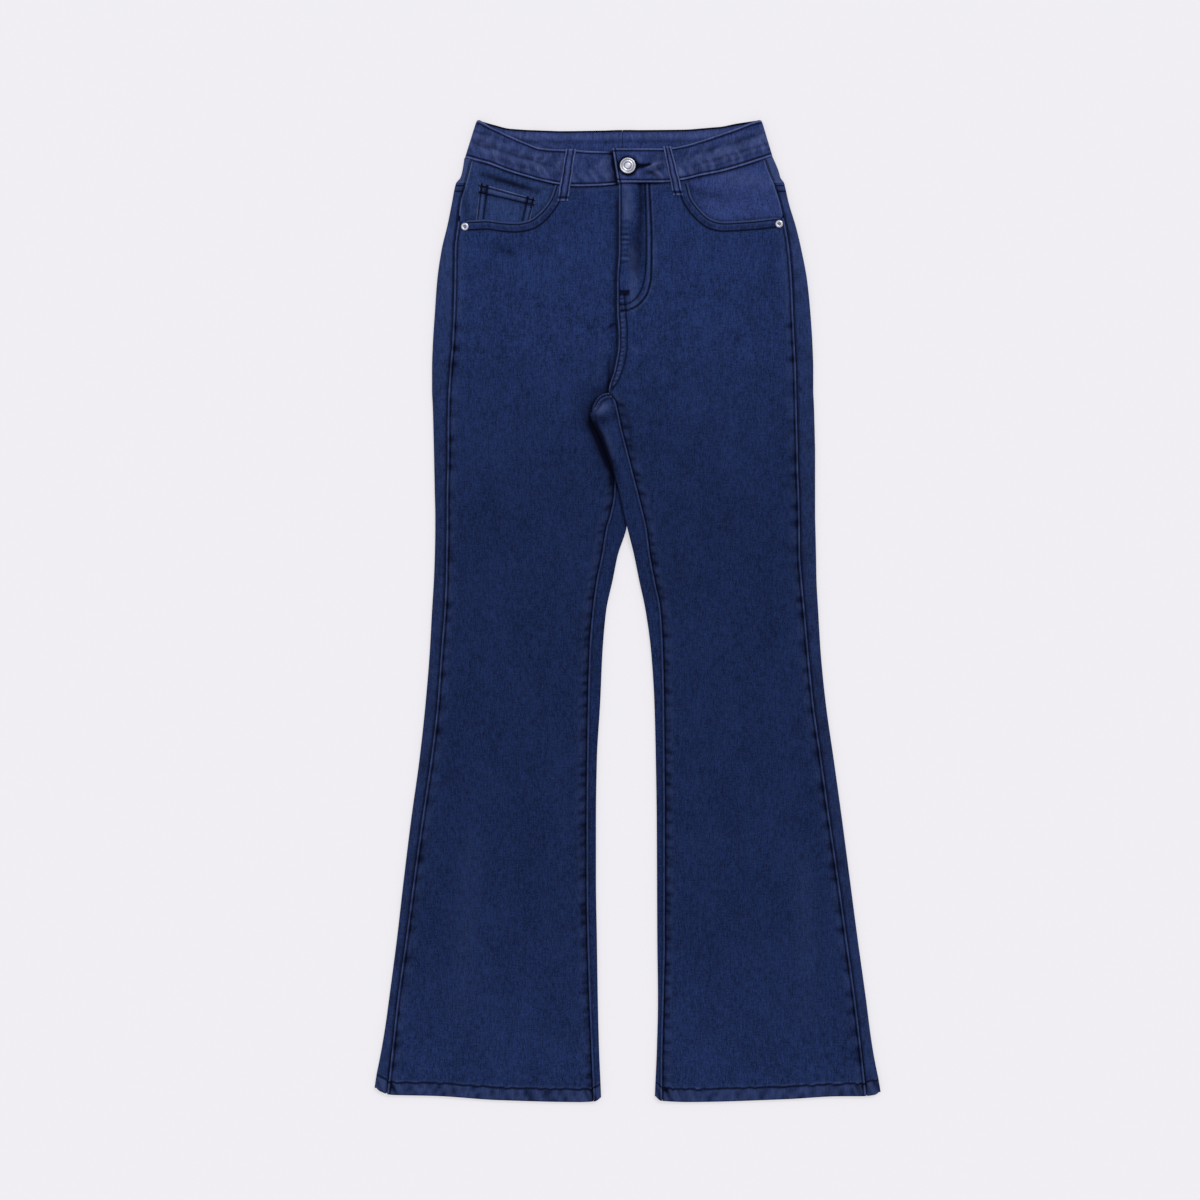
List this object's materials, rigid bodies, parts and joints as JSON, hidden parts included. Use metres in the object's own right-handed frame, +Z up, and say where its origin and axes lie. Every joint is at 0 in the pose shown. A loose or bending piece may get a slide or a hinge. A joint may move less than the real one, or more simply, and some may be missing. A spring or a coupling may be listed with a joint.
{
  "type": "flared jeans",
  "caption": "High-rise flared jeans buttoned and laid flat, front up, with curved front pockets, coin pocket, fly, belt loops, yokes and seat pockets.",
  "frame": {"origin": "centre of the bounding box at the level of the table that the garment lies on", "axes": "+Z up off the table, +Y from hems to waist, +X to the wearer's left, which is the right of the picture"},
  "size_m": [0.5418, 1.06, 0.0105],
  "materials": {
    "denim": "dark navy stretch denim, faintly slubbed, matte with tonal stitching",
    "waistband": "the same denim, a little lighter and mottled where the doubled cloth rubs",
    "zip": "dark woven zip tape",
    "nickel": "satin nickel with plain rings"
  },
  "bodies": {
    "root": {"front_right": "denim", "front_left": "denim", "back_right": "denim", "back_left": "denim", "yoke_right": "denim", "yoke_left": "denim", "pocket_facing_right": "denim", "pocket_facing_left": "denim", "coin_pocket": "denim", "back_pocket_right": "denim", "back_pocket_left": "denim", "waistband_right": "waistband", "waistband_left": "waistband", "belt_loop_front_right": "waistband", "belt_loop_front_left": "waistband", "belt_loop_side_right": "waistband", "belt_loop_side_left": "waistband", "belt_loop_back": "waistband", "fly_zip": "zip", "button": "nickel", "rivet_right": "nickel", "rivet_left": "nickel"}
  },
  "joints": []
}
